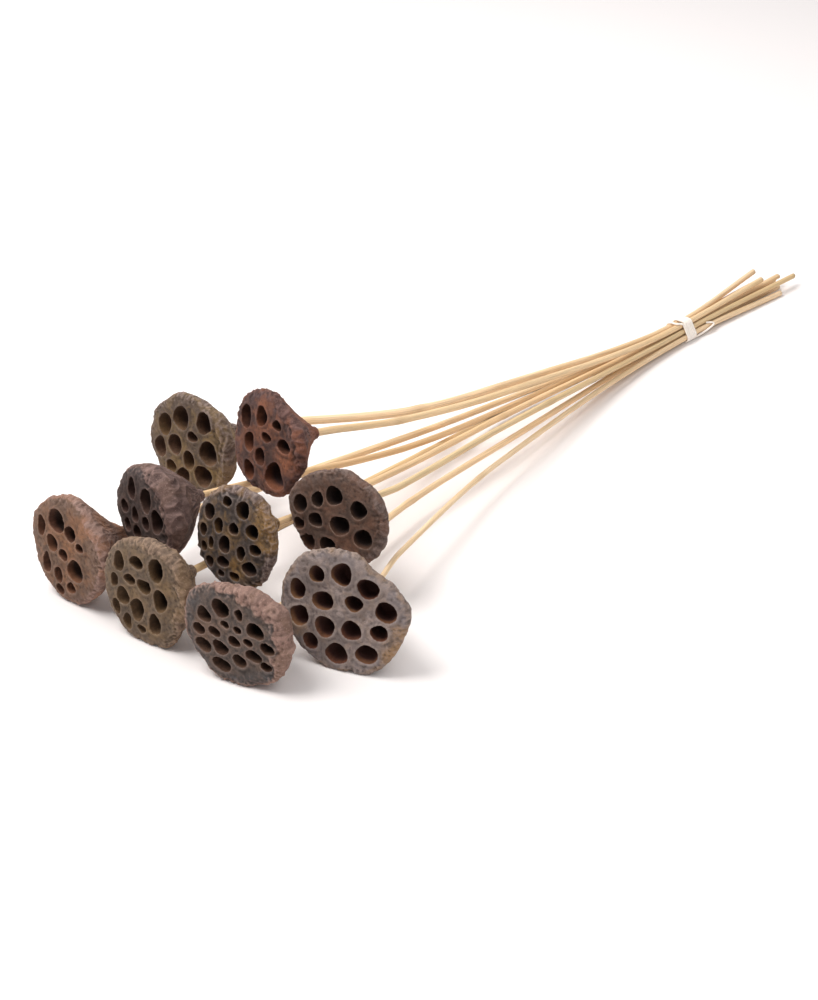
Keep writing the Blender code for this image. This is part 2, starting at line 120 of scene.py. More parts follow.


# growth: how much wider the husk's holes are than the solid's.
# stretch: the direction in which its holes are drawn out, and by what share.
# patches: right, up, size and strength of the ochre places on the face.
# rolls: where the rim rolls over the face, as direction, spread and width as a share of the radius.
# well, depth_shade: how deep a hole's wall keeps its lit colour, and the colour of the painted shade in the
# hole below that.
HUSKS = {
    "pod_1": Husk((-471.8, 53.2, 28.8), 5, 6, 29.5, 40, 52, 0.42, 0.6, 1.09, (100, 0.03),
                  srgb(124, 97, 80), srgb(122, 98, 86), srgb(158, 108, 74), srgb(158, 130, 110),
                  srgb(116, 76, 58), srgb(146, 116, 104), srgb(176, 146, 134),
                  ((-6, 8, 7, 0.6), (4, 2, 9, 0.7), (-16, 16, 7, 0.3), (10, 16, 8, 0.6), (0, -14, 8, 0.4)),
                  0.35, ((15, 60, 0.10),), 3.6, srgb(50, 32, 26)),
    "pod_2": Husk((-475.5, -6.3, 27.8), -3, 4, 28.5, 36, 42, 0.5, 0.8, 1.08, (100, 0.03),
                  srgb(116, 98, 82), srgb(118, 100, 84), srgb(138, 110, 76), srgb(152, 134, 112),
                  srgb(122, 94, 68), srgb(128, 106, 90), srgb(176, 148, 124),
                  ((-6, -2, 10, 0.4), (14, 8, 8, 0.5), (6, -18, 8, 0.6), (20, -4, 7, 0.5)),
                  0.4, ((5, 50, 0.16), (70, 40, 0.08)), 5.4, srgb(58, 42, 31)),
    "pod_3": Husk((-442.6, 27.8, 48.4), 11, 4, 24.6, 38, 40, 0.5, 1.0, 1.1, (95, 0.03),
                  srgb(84, 70, 66), srgb(78, 70, 70), srgb(104, 78, 64), srgb(128, 110, 100),
                  srgb(86, 60, 52), srgb(112, 89, 83), srgb(168, 138, 128),
                  ((10, -4, 7, 0.4), (-4, -10, 7, 0.35)),
                  0.3, ((35, 70, 0.22), (-15, 50, 0.14)), 4.0, srgb(66, 50, 47)),
    "pod_4": Husk((-370, 68, 44.5), -1, 6, 28, 36, 42, 0.5, 0.9, 1.1, (95, 0.02),
                  srgb(112, 93, 78), srgb(106, 90, 80), srgb(144, 116, 70), srgb(148, 128, 108),
                  srgb(124, 92, 72), srgb(116, 98, 88), srgb(170, 150, 142),
                  ((20, 8, 9, 0.7), (8, -14, 9, 0.8), (-6, -12, 7, 0.6), (20, -12, 8, 0.8),
                   (-4, 0, 7, 0.4)),
                  0.4, ((10, 60, 0.14),), 6.6, srgb(98, 76, 68)),
    "pod_5": Husk((-378, 2, 70.6), 8, 9, 27.5, 34, 40, 0.5, 1.0, 1.1, (100, 0.03),
                  srgb(104, 77, 70), srgb(84, 66, 66), srgb(168, 104, 72), srgb(150, 112, 94),
                  srgb(108, 66, 48), srgb(96, 68, 62), srgb(140, 106, 98),
                  ((16, -4, 10, 0.8), (2, 8, 8, 0.5), (-8, 2, 7, 0.5), (10, -20, 9, 0.7), (-3, 18, 6, 0.6)),
                  0.4, ((40, 60, 0.14), (200, 40, 0.06)), 4.4, srgb(60, 42, 41)),
    "pod_6": Husk((-432, -25, 48), -4, 12, 26, 35, 38, 0.5, 1.2, 1.06, (100, 0.02),
                  srgb(90, 78, 72), srgb(98, 90, 88), srgb(154, 116, 62), srgb(146, 131, 118),
                  srgb(88, 62, 48), srgb(108, 90, 84), srgb(176, 158, 150),
                  ((18, 12, 9, 0.9), (1, 0, 7, 0.45), (6, -14, 7, 0.7), (20, 2, 7, 0.7), (-18, 2, 5, 0.4)),
                  0.35, ((75, 70, 0.10), (0, 50, 0.08)), 3.4, srgb(52, 39, 36)),
    "pod_7": Husk((-473.6, -64.7, 26.5), -10, 8, 26.8, 36, 42, 0.55, 1.0, 1.05, (-35, 0.12),
                  srgb(98, 86, 80), srgb(88, 86, 88), srgb(122, 94, 76), srgb(150, 128, 112),
                  srgb(98, 68, 52), srgb(150, 118, 106), srgb(184, 152, 138),
                  ((-18, -2, 7, 0.6), (-8, 4, 8, 0.3)),
                  0.3, ((58, 48, 0.24), (10, 50, 0.20), (100, 30, 0.12)),
                  4.6, srgb(54, 38, 29)),
    "pod_8": Husk((-382.6, -51, 47), -14, 8, 26, 34, 40, 0.5, 0.9, 1.08, (0, 0.0),
                  srgb(110, 87, 76), srgb(106, 88, 80), srgb(134, 92, 70), srgb(158, 138, 122),
                  srgb(80, 58, 46), srgb(106, 88, 82), srgb(150, 130, 120),
                  ((-6, 4, 8, 0.4), (6, -12, 8, 0.6), (18, 0, 7, 0.5)),
                  0.35, ((0, 60, 0.10), (60, 40, 0.06)), 2.9, srgb(70, 55, 51)),
    "pod_9": Husk((-430.3, -95.7, 32), -17, 9, 33, 36, 50, 0.4, 0.7, 1.08, (0, 0.0),
                  srgb(156, 140, 134), srgb(140, 130, 130), srgb(162, 124, 80), srgb(156, 140, 128),
                  srgb(118, 70, 48), srgb(134, 118, 110), srgb(172, 152, 140),
                  ((27, -16, 9, 0.95), (-24, -12, 6, 0.5), (30, -6, 6, 0.7)),
                  0.15, ((-35, 40, 0.06),), 2.9, srgb(76, 43, 35)),
}

# A gradient noise of this script's own, quick on many points at once.
_chance = np.random.RandomState(20817)
PERM = np.tile(_chance.permutation(256), 3)
GRAD = _chance.normal(size=(256, 3))
GRAD /= np.linalg.norm(GRAD, axis=1)[:, None]


def wave(points):
    """Smooth noise from about -1 to 1 at each point, one bump to a unit of length."""
    points = np.asarray(points, float)
    cell = np.floor(points).astype(np.int64)
    part = points - cell
    ease = part**3 * (part * (part * 6.0 - 15.0) + 10.0)
    cell &= 255
    total = np.zeros(len(points))
    for dx in (0, 1):
        for dy in (0, 1):
            for dz in (0, 1):
                index = PERM[(cell[:, 0] + dx) & 255] + ((cell[:, 1] + dy) & 255)
                index = PERM[PERM[index] + ((cell[:, 2] + dz) & 255)]
                corner = (GRAD[index] * (part - (dx, dy, dz))).sum(axis=1)
                weight = ease[:, 0] if dx else 1.0 - ease[:, 0]
                weight = weight * (ease[:, 1] if dy else 1.0 - ease[:, 1])
                weight = weight * (ease[:, 2] if dz else 1.0 - ease[:, 2])
                total += corner * weight
    return total * 1.7


def ridges(points):
    """Noise with narrow raised creases, from 0 in the hollows to 1 on the creases."""
    return (1.0 - np.minimum(np.abs(wave(points)) * 1.6, 1.0)) ** 2


def step(low, high, value):
    t = np.clip((value - low) / (high - low), 0.0, 1.0)
    return t * t * (3.0 - 2.0 * t)


def facing(azimuth, elevation):
    """Right, up and outward directions of a face, as rows."""
    az, el = radians(azimuth), radians(elevation)
    outward = Vector((-cos(az) * cos(el), sin(az) * cos(el), sin(el)))
    up = (Vector((0, 0, 1)) - outward * outward.z).normalized()
    return np.array([up.cross(outward), up, outward])


def solid_mesh(node):
    """A CAD node's welded points, in millimetres, and its triangles."""
    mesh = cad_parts[node].data
    mesh.calc_loop_triangles()
    points = np.empty(len(mesh.vertices) * 3)
    mesh.vertices.foreach_get("co", points)
    points = points.reshape(-1, 3) / MM
    faces = np.empty(len(mesh.loop_triangles) * 3, np.int32)
    mesh.loop_triangles.foreach_get("vertices", faces)
    _, first, index = np.unique(
        np.round(points * 500).astype(np.int64), axis=0, return_index=True, return_inverse=True
    )
    faces = index.reshape(-1)[faces].reshape(-1, 3)
    whole = (faces[:, 0] != faces[:, 1]) & (faces[:, 1] != faces[:, 2]) & (faces[:, 0] != faces[:, 2])
    return points[first], faces[whole]


def groups(count, pairs):
    """Numbers the connected groups among count things joined in pairs."""
    label = np.arange(count)
    while True:
        low = np.minimum(label[pairs[:, 0]], label[pairs[:, 1]])
        new = label.copy()
        np.minimum.at(new, pairs[:, 0], low)
        np.minimum.at(new, pairs[:, 1], low)
        new = new[new]
        if (new == label).all():
            return label
        label = new


def inside_holes(husk, mesh, points, normal):
    """Which points lie on the wall or floor of a seed hole: a ray across the face hits its other wall."""
    face = (normal[:, 2] > FACE_NORMAL) & (points[:, 2] > -0.10 * husk.deep - 1.6)
    back = points[:, 2] < -0.5 * husk.deep
    corners = points.tolist()
    polygons = [tuple(polygon.vertices) for polygon in mesh.polygons]
    tree = BVHTree.FromPolygons(corners, polygons)
    inside = np.zeros(len(points), bool)
    for i in np.where(~(face | back))[0]:
        way = Vector((normal[i, 0], normal[i, 1], 0.0))
        if way.length < 0.02:
            way = Vector((1.0, 0.0, 0.0))
        start = Vector(corners[i]) + Vector(normal[i]) * RAY_LIFT
        inside[i] = tree.ray_cast(start, way.normalized(), WIDEST_HOLE)[0] is not None
    return inside


def rim_radius(husk, points, outside):
    """How far out the rim is at each of RIM_POINTS directions, counted from -pi."""
    rim = outside & (points[:, 2] < -0.02 * husk.deep) & (points[:, 2] > -0.22 * husk.deep)
    angle = np.arctan2(points[rim, 1], points[rim, 0])
    out = np.hypot(points[rim, 0], points[rim, 1])
    cell = np.clip(((angle + pi) / (2 * pi) * RIM_POINTS).astype(int), 0, RIM_POINTS - 1)
    rows = np.zeros(RIM_POINTS)
    np.maximum.at(rows, cell, out)
    rows = np.where(rows > 0, rows, husk.radius)
    for _ in range(2):
        rows = (np.roll(rows, 1) + rows + np.roll(rows, -1)) / 3
    return rows


def fine_mesh(name, points, faces, voxel):
    """The solid as a fine even mesh, through Blender's voxel remesher."""
    coarse = bpy.data.meshes.new(name + "_coarse")
    coarse.from_pydata((points * MM).tolist(), [], faces.tolist())
    helper = bpy.data.objects.new(name + "_coarse", coarse)
    bpy.context.scene.collection.objects.link(helper)
    remesh = helper.modifiers.new("Fine", "REMESH")
    remesh.mode = "VOXEL"
    remesh.voxel_size = voxel * MM
    remesh.adaptivity = 0.0
    bpy.context.view_layer.update()
    graph = bpy.context.evaluated_depsgraph_get()
    mesh = bpy.data.meshes.new_from_object(helper.evaluated_get(graph))
    bpy.data.objects.remove(helper, do_unlink=True)
    mesh.name = name
    return mesh


def points_of(mesh):
    out = np.empty(len(mesh.vertices) * 3, np.float32)
    mesh.vertices.foreach_get("co", out)
    return out.reshape(-1, 3).astype(float) / MM


def put_points(mesh, points):
    mesh.vertices.foreach_set("co", (points * MM).astype(np.float32).reshape(-1))
    mesh.update()


def normals_of(mesh):
    out = np.empty(len(mesh.vertices) * 3, np.float32)
    mesh.vertices.foreach_get("normal", out)
    return out.reshape(-1, 3).astype(float)


def relax(points, edges, rounds, weight):
    """Draws each point towards the middle of its neighbours. weight is one number or one each."""
    a, b = edges[:, 0], edges[:, 1]
    total = len(points)
    degree = np.bincount(a, minlength=total) + np.bincount(b, minlength=total)
    degree = np.maximum(degree, 1)
    weight = np.broadcast_to(weight, total)
    for _ in range(rounds):
        middle = np.empty_like(points)
        for k in range(points.shape[1]):
            summed = np.bincount(a, weights=points[b, k], minlength=total)
            summed += np.bincount(b, weights=points[a, k], minlength=total)
            middle[:, k] = summed / degree
        points = points + (middle - points) * weight[:, None]
    return points


def keep(mesh, name, values):
    """Stores one number for each point, for a material to read."""
    layer = mesh.attributes.new(name, "FLOAT", "POINT")
    layer.data.foreach_set("value", np.asarray(values, np.float32))


def keep_vector(mesh, name, values):
    layer = mesh.attributes.new(name, "FLOAT_VECTOR", "POINT")
    layer.data.foreach_set("vector", np.asarray(values, np.float32).reshape(-1))


class Opening:
    """A seed hole's outline in its pod's own axes: as the solid has it, and as the husk gets it."""

    def __init__(self, outline, number, seed, growth, stretch):
        self.middle = outline.mean(axis=0)
        around = outline - self.middle
        angle = np.arctan2(around[:, 1], around[:, 0])
        out = np.hypot(around[:, 0], around[:, 1])
        self.grid = np.linspace(-pi, pi, OUTLINE_POINTS, endpoint=False)
        self.old = self.even(angle, out, 11)
        self.height = self.even(angle, outline[:, 2], 5)
        toward, amount = stretch
        self.new = self.even(angle, out, 6) * growth
        self.new *= 1.0 + amount * np.cos(2 * (self.grid - radians(toward)))
        chance = np.random.RandomState(seed * 100 + number)
        for k, size in ((2, 0.015), (3, 0.022), (4, 0.016), (5, 0.010)):
            self.new *= 1.0 + size * chance.normal() * np.sin(k * self.grid + chance.uniform(0, 6.28))
        self.tint = chance.uniform(-1, 1)

    def even(self, angle, value, waves):
        """The value as a smooth function of the angle, on the grid."""
        spread = (angle[None, :] - self.grid[:, None] + pi) % (2 * pi) - pi
        weight = np.exp(-((spread / 0.10) ** 2)) + 1e-6
        rows = np.fft.rfft((weight * value[None, :]).sum(axis=1) / weight.sum(axis=1))
        rows[waves:] = 0
        return np.fft.irfft(rows, OUTLINE_POINTS)

    def shift_at(self, around):
        """How far outward the outline moves, for offsets from the hole's middle."""
        angle = np.arctan2(around[:, 1], around[:, 0])
        move = np.interp(angle, self.grid, self.new - self.old, period=2 * pi)
        length = np.maximum(np.hypot(around[:, 0], around[:, 1]), 0.3)
        return around[:, :2] / length[:, None] * move[:, None]

    def edge(self):
        """Points along the new outline."""
        x = self.middle[0] + np.cos(self.grid) * self.new
        y = self.middle[1] + np.sin(self.grid) * self.new
        return np.stack([x, y, self.height], axis=1)


def nearest_points(rows, queries):
    """For each query: the distance to the nearest row and that row's number."""
    tree = KDTree(len(rows))
    for i, row in enumerate(rows):
        tree.insert(row, i)
    tree.balance()
    distance = np.empty(len(queries))
    number = np.empty(len(queries), np.int64)
    for i, query in enumerate(queries):
        _, number[i], distance[i] = tree.find(query)
    return distance, number


def grow_husk(name, husk, seed):
    """The detailed husk of one pod, with the masks that its material reads."""
    points, faces = solid_mesh(name)
    axes = facing(husk.azimuth, husk.elevation)
    origin = np.array(Vector(husk.centre) + SHIFT)
    mesh = fine_mesh(name + "_husk", points, faces, VOXEL)
    edges = np.empty(len(mesh.edges) * 2, np.int32)
    mesh.edges.foreach_get("vertices", edges)
    edges = edges.reshape(-1, 2)
    world = relax(points_of(mesh), edges, 3, 0.5)
    put_points(mesh, world)
    fine = (world - origin) @ axes.T
    inside = inside_holes(husk, mesh, fine, normals_of(mesh) @ axes.T)

    for _ in range(2):
        same = edges[inside[edges[:, 0]] == inside[edges[:, 1]]]
        part = groups(len(fine), same)
        size = np.bincount(part, minlength=len(fine))
        inside = np.where(size[part] < SPECK_AREA / VOXEL**2, ~inside, inside)
    part = np.where(inside, part, -1)
    crossing = edges[inside[edges[:, 0]] != inside[edges[:, 1]]]
    owner = np.maximum(part[crossing[:, 0]], part[crossing[:, 1]])
    middle = fine[crossing].mean(axis=1)
    openings = {}
    for number, key in enumerate(np.unique(owner)):
        openings[key] = Opening(middle[owner == key], number, seed, husk.growth, husk.stretch)

    distance, number = nearest_points(middle.tolist(), fine.tolist())
    near_hole = owner[number]
    calm = np.where(inside, 0.0, step(1.2, 3.0, distance))
    fine = relax(fine, edges, FACE_ROUNDS, calm * 0.6)

    tint = np.zeros(len(fine))
    for key, opening in openings.items():
        own = part == key
        lean = 1.0 - 0.018 * np.clip(-fine[own, 2], 0, 12)
        around = fine[own] - np.stack(
            [opening.middle[0] * lean, opening.middle[1] * lean, 0 * lean], axis=1
        )
        fine[own, :2] += opening.shift_at(around)
        close = ~inside & (near_hole == key) & (distance < OUTLINE_REACH)
        around = fine[close] - opening.middle
        fade = np.exp(-((distance[close] / OUTLINE_FADE) ** 2))
        fine[close, :2] += opening.shift_at(around) * fade[:, None]
        tint[own | close] = opening.tint
    lips = np.concatenate([o.edge() for o in openings.values()])
    distance, _ = nearest_points(lips.tolist(), fine.tolist())
    distance = relax(distance[:, None], edges, 1, 0.5)[:, 0]
    distance[fine[:, 2] < -0.55 * husk.deep] = 30.0

    out = np.hypot(fine[:, 0], fine[:, 1])
    angle = np.arctan2(fine[:, 1], fine[:, 0])
    depth = -fine[:, 2]
    rim_rows = rim_radius(husk, fine, ~inside)
    rim_grid = -pi + (np.arange(RIM_POINTS) + 0.5) * 2 * pi / RIM_POINTS
    share = out / np.interp(angle, rim_grid, rim_rows, period=2 * pi)
    shifted = fine + seed * 31.7
    uneven = 0.05 * wave(shifted / 7.0) + 0.02 * wave(shifted / 2.6)
    roll = np.zeros(len(fine))
    for toward, spread, wide in husk.rolls:
        apart = (angle - radians(toward) + pi) % (2 * pi) - pi
        roll = np.maximum(roll, wide * (1.0 - step(0.5, 1.0, np.abs(apart) / radians(spread))))
    edge_share = 0.95 - roll + uneven * (1.0 + 4.0 * roll)
    over = step(edge_share - 0.02, edge_share + 0.03, share) * (1.0 - step(-0.4, 1.2, 1.8 - distance))
    side = np.where(inside, 0.0, np.maximum(step(1.6, 4.5, depth), over))
    side = relax(side[:, None], edges, 2, 0.5)[:, 0]
    rim_zone = np.where(inside, 0.0, step(0.78, 0.98, share + roll) * (1 - step(6.0, 18.0, depth)))
    rim_zone = relax(rim_zone[:, None], edges, 3, 0.5)[:, 0]
    pit = relax(inside.astype(float)[:, None], edges, 1, 0.5)[:, 0]

    put_points(mesh, fine)
    normal = normals_of(mesh)

    ring = husk.ribs / (2 * pi)
    turned = np.stack(
        [np.cos(angle) * ring, np.sin(angle) * ring, depth / 11.0 + seed * 7.1], axis=1
    )
    bend = np.stack([wave(shifted / 9.0), wave(shifted / 9.0 + 40.0), 0 * out], axis=1) * 0.6
    rib = ridges(turned + bend)
    fine_rib = ridges(turned * (2.1, 2.1, 1.6) + bend * 1.5 + 11.3)
    crumple = ridges(shifted / 4.6 + bend)
    crease = ridges(shifted / 2.1 + bend * 2 + 3.3)
    swell = wave(shifted / 6.5 + 21.0)
    small = wave(shifted / 1.7)
    tiny = wave(shifted / 0.9)
    lump = wave(shifted / 2.8 + 51.0)
    fold = ridges(shifted / 7.5 + bend + 17.0)
    patchy = np.clip(0.7 + 0.9 * wave(shifted / 14.0 + 9.0), 0.15, 1.4)

    face_part = np.where(inside, 0.0, 1.0 - side)
    local_size = np.clip(out / (0.55 * husk.radius), 0.25, 1.0)
    lip = np.where(inside, 0.35, 1.0) * np.exp(-((distance / LIP_WIDTH) ** 2))
    ragged = 0.80 + 0.35 * wave(shifted / 3.2 + 5.0)
    lift = face_part * MOUND_HEIGHT * (np.exp(-((distance / MOUND_WIDTH) ** 2)) - 0.35)
    lift = lift + lip * LIP_HEIGHT * ragged
    rolled = roll / 0.2 * step(edge_share - 0.02, edge_share + 0.08, share) * ~inside
    smooth = 1.0 - ROLL_CALM * np.clip(relax(rolled[:, None], edges, 4, 0.5)[:, 0], 0, 1)
    billow = ridges(shifted / 11.0 + bend * 0.7 + 29.0) - 0.4 + 0.5 * swell
    lift = lift + rolled * (0.55 + 0.5 * lump) * (1.0 - step(0.90, 1.0, share))
    bare = face_part * step(0.6, 2.0, distance)
    relief = bare * (0.34 * swell + 0.14 * crumple + 0.14 * lump + 0.09 * small)
    relief += face_part * (0.06 * small + 0.05 * tiny)
    ribbed = (rib * 1.15 + fine_rib * 0.6 - 0.85) * local_size * (0.45 + 0.55 * step(3.0, 9.0, depth))
    relief += side * husk.rib_height * ribbed * patchy * smooth
    relief += side * (0.10 * small + 0.06 * tiny + 0.07 * crease - 0.05) * smooth
    relief += side * rim_zone * (0.28 * lump + 0.22 * swell)
    folded = (fold * 0.9 - 0.55) * (0.3 + 0.7 * smooth) + 0.25 * small * smooth + 0.25 * lump
    relief += rim_zone * husk.shoulder * folded * patchy
    relief += (1.0 - smooth) * BILLOW_HEIGHT * billow
    wall = inside * (1.0 - np.exp(-((distance / 0.75) ** 2)))
    relief += wall * (PIT_LUMP * wave(shifted / 2.6) + 0.03 * tiny - WALL_BACK)
    fine = fine + normal * relief[:, None]
    fine[:, 2] += lift

    soft = relax(fine, edges, 5, 0.5)
    put_points(mesh, fine)
    final_normal = normals_of(mesh)
    convex = ((fine - soft) * final_normal).sum(axis=1)

    world = fine @ axes + origin
    low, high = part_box(name)
    world = np.clip(world, np.array(low) / MM, np.array(high) / MM)
    world[:, 2] = np.maximum(world[:, 2], 0.02)
    put_points(mesh, world)

    ochre = np.zeros(len(fine))
    for right, up, spot, strength in husk.patches:
        apart = np.hypot(fine[:, 0] - right, fine[:, 1] - up) + 2.6 * wave(shifted / 4.5)
        ochre = np.maximum(ochre, strength * (1.0 - step(0.35 * spot, 1.1 * spot, apart)))
    # Height of the relief, for the painted shade in the face's low places.
    height = np.clip(0.5 + 0.8 * (relief + lift), 0, 1)
    keep(mesh, "lip", np.where(inside, 0.0, lip) * np.clip(ragged, 0, 1.2))
    keep(mesh, "pit", pit)
    # How far down a hole's wall each point lies, for the painted shade of the hole's depths.
    keep(mesh, "deep", np.clip(distance / 10.0, 0, 1) * inside)
    # How much each point faces up; the hole walls that face down get painted shade by it.
    keep(mesh, "up", np.clip(0.5 + 0.5 * (final_normal @ axes)[:, 2], 0, 1))
    keep(mesh, "side", side)
    keep(mesh, "height", height)
    # Convexity: the material paints shade in the hollows and a highlight on the crests by it.
    keep(mesh, "convex", np.clip(0.5 + convex * 4.0 * (0.35 + 0.65 * smooth), 0, 1))
    # A ring of painted shade round each hole, just outside its mound.
    moat = np.exp(-(((distance - MOAT_AT) / MOAT_WIDTH) ** 2))
    keep(mesh, "moat", face_part * moat)
    keep(mesh, "ochre", ochre)
    keep(mesh, "tint", tint)
    keep(mesh, "rim", rim_zone)
    keep(mesh, "border", face_part * step(0.66, 0.90, share))
    ribs = np.clip(rib * 0.8 + fine_rib * 0.35, 0, 1)
    keep(mesh, "rib", ribs * smooth + 0.5 * (1.0 - smooth))
    keep_vector(mesh, "turned", turned)
    mesh.polygons.foreach_set("use_smooth", np.ones(len(mesh.polygons), bool))
    mesh.materials.clear()
    mesh.materials.append(husk_material(name, husk))
    obj = bpy.data.objects.new(name + "_husk", mesh)
    bpy.context.scene.collection.objects.link(obj)
    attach(obj, "root")
    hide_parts(name)
    return obj


class Tree:
    """Shorthand for building a material's nodes."""

    def __init__(self, name):
        self.material = bpy.data.materials.new(name)
        self.material.use_nodes = True
        self.nodes = self.material.node_tree.nodes
        self.links = self.material.node_tree.links
        self.shader = self.nodes["Principled BSDF"]

    def set(self, socket, value):
        if isinstance(value, bpy.types.NodeSocket):
            self.links.new(value, socket)
        elif isinstance(value, tuple) and len(value) == 3 and socket.type == "RGBA":
            socket.default_value = (*value, 1.0)
        else:
            socket.default_value = value

    def attribute(self, name, vector=False):
        node = self.nodes.new("ShaderNodeAttribute")
        node.attribute_name = name
        return node.outputs["Vector" if vector else "Fac"]

    def place(self):
        return self.nodes.new("ShaderNodeTexCoord").outputs["Object"]

    def scaled(self, vector, scale):
        node = self.nodes.new("ShaderNodeVectorMath")
        node.operation = "MULTIPLY"
        self.set(node.inputs[0], vector)
        node.inputs[1].default_value = scale
        return node.outputs[0]

    def noise(self, vector, scale, detail=3.0, roughness=0.55, distortion=0.0):
        node = self.nodes.new("ShaderNodeTexNoise")
        self.set(node.inputs["Vector"], vector)
        node.inputs["Scale"].default_value = scale
        node.inputs["Detail"].default_value = detail
        node.inputs["Roughness"].default_value = roughness
        node.inputs["Distortion"].default_value = distortion
        return node.outputs["Fac"]

    def range(self, value, low, high, to_low=0.0, to_high=1.0):
        node = self.nodes.new("ShaderNodeMapRange")
        node.interpolation_type = "SMOOTHSTEP"
        self.set(node.inputs["Value"], value)
        node.inputs["From Min"].default_value = low
        node.inputs["From Max"].default_value = high
        node.inputs["To Min"].default_value = to_low
        node.inputs["To Max"].default_value = to_high
        return node.outputs["Result"]

    def math(self, kind, a, b=0.0):
        node = self.nodes.new("ShaderNodeMath")
        node.operation = kind
        self.set(node.inputs[0], a)
        self.set(node.inputs[1], b)
        return node.outputs[0]

    def mix(self, amount, a, b, kind="MIX"):
        node = self.nodes.new("ShaderNodeMix")
        node.data_type = "RGBA"
        node.blend_type = kind
        self.set(node.inputs[0], amount)
        self.set(node.inputs[6], a)
        self.set(node.inputs[7], b)
        return node.outputs[2]

    def bump(self, height, strength, distance, normal=None):
        node = self.nodes.new("ShaderNodeBump")
        node.inputs["Strength"].default_value = strength
        node.inputs["Distance"].default_value = distance
        self.set(node.inputs["Height"], height)
        if normal is not None:
            self.set(node.inputs["Normal"], normal)
        return node.outputs["Normal"]


def times(colour, factor):
    return tuple(min(c * factor, 1.0) for c in colour)


def husk_material(name, husk):
    """Dry corky husk: smooth mottled face, thin light lips, ribbed and flecked side, with painted shade in
    the hole depths, on down-facing hole walls, in creases, rib grooves and low places and in a ring round
    each hole, and a painted highlight on ridges.
    """
    t = Tree(name + "_husk")
    place = t.scaled(t.place(), (1000.0, 1000.0, 1000.0))
    turned = t.attribute("turned", vector=True)
    lip = t.attribute("lip")
    pit = t.attribute("pit")
    deep = t.attribute("deep")
    up = t.attribute("up")
    side = t.attribute("side")
    height = t.attribute("height")
    ochre = t.attribute("ochre")
    rib = t.attribute("rib")
    rim = t.attribute("rim")
    border = t.attribute("border")
    convex = t.attribute("convex")
    tint = t.attribute("tint")
    moat = t.attribute("moat")

    broad = t.noise(place, 0.10, 2.0, 0.5, 0.3)
    other = t.noise(place, 0.16, 3.0, 0.6, 0.6)
    blotch = t.noise(place, 0.42, 4.0, 0.6, 0.4)
    speck = t.noise(place, 1.5, 3.0, 0.6)
    grain = t.noise(place, 3.8, 2.0, 0.6)

    face = t.mix(t.range(broad, 0.36, 0.62), times(husk.face, 0.70), times(husk.face, 1.16))
    face = t.mix(t.range(blotch, 0.35, 0.61, 0.66, 0.0), face, times(husk.face, 0.48))
    face = t.mix(t.range(speck, 0.50, 0.72, 0.0, 0.30), face, times(husk.lip, 0.95))
    face = t.mix(t.math("MULTIPLY", t.range(other, 0.45, 0.62), husk.mottle), face, husk.patch)
    edge_amount = t.math("MULTIPLY", border, t.range(other, 0.34, 0.56, 0.95, 0.35))
    face = t.mix(edge_amount, face, husk.edge)
    ochre_amount = t.math("MULTIPLY", ochre, t.range(speck, 0.28, 0.60, 0.45, 1.0))
    face = t.mix(ochre_amount, face, husk.patch)
    # Painted shade in the low places of the face.
    face = t.mix(t.range(height, 0.16, 0.44, 0.45, 0.0), face, times(husk.face, 0.45))
    # Painted shade in a ring round each hole.
    moat_shade = t.math("MULTIPLY", moat, t.range(other, 0.40, 0.60, 0.60, 0.15))
    face = t.mix(moat_shade, face, times(husk.face, 0.42))
    crack = t.noise(place, 0.55, 2.0, 0.5, 1.4)
    crack = t.range(t.math("ABSOLUTE", t.math("SUBTRACT", crack, 0.5)), 0.0, 0.022, 0.55, 0.0)
    face = t.mix(t.math("MULTIPLY", crack, t.range(broad, 0.42, 0.60)), face, times(husk.face, 0.35))

    lengthwise = t.noise(t.scaled(turned, (1.0, 1.0, 0.45)), 1.6, 4.0, 0.65, 0.3)
    skin = t.mix(t.range(lengthwise, 0.38, 0.62), times(husk.side, 0.66), husk.side)
    skin = t.mix(t.math("MULTIPLY", t.range(rib, 0.35, 0.95), 0.55), skin, husk.streak)
    skin = t.mix(t.math("MULTIPLY", t.range(broad, 0.46, 0.62), 0.45), skin, husk.patch)
    skin = t.mix(t.range(blotch, 0.30, 0.46, 0.55, 0.0), skin, times(husk.side, 0.45))
    # Painted shade in the grooves between the ribs.
    skin = t.mix(t.range(rib, 0.02, 0.22, 0.50, 0.0), skin, times(husk.side, 0.40))
    fleck = t.math("MULTIPLY", t.range(speck, 0.58, 0.68), t.math("MULTIPLY", rim, 0.60))
    skin = t.mix(fleck, skin, times(husk.streak, 1.15))
    skin = t.mix(t.math("MULTIPLY", ochre_amount, 0.8), skin, times(husk.patch, 1.1))

    colour = t.mix(side, face, skin)
    rough_part = t.math("MAXIMUM", side, rim)
    # Painted shade in the creases and hollows, stronger on the rough side and the rim.
    crease_shade = t.range(convex, 0.10, 0.48, 0.80, 0.0)
    crease_shade = t.math("MULTIPLY", crease_shade, t.range(rough_part, 0.0, 1.0, 0.55, 0.70))
    colour = t.mix(crease_shade, colour, times(husk.face, 0.20))
    # Painted highlight on the ridges and crests.
    ridge_highlight = t.range(convex, 0.55, 0.95, 0.0, 0.5)
    ridge_highlight = t.math("MULTIPLY", ridge_highlight, t.range(rough_part, 0.0, 1.0, 0.30, 0.75))
    colour = t.mix(ridge_highlight, colour, husk.streak)

    near = t.mix(t.range(blotch, 0.34, 0.66), times(husk.wall, 0.62), times(husk.wall, 1.05))
    near = t.mix(t.range(tint, -0.6, 1.0, 0.0, 0.40), near, husk.patch)
    # Painted shade on the hole walls that face down.
    near = t.mix(t.range(up, 0.30, 0.80, 0.72, 0.0), near, times(husk.wall, 0.28))
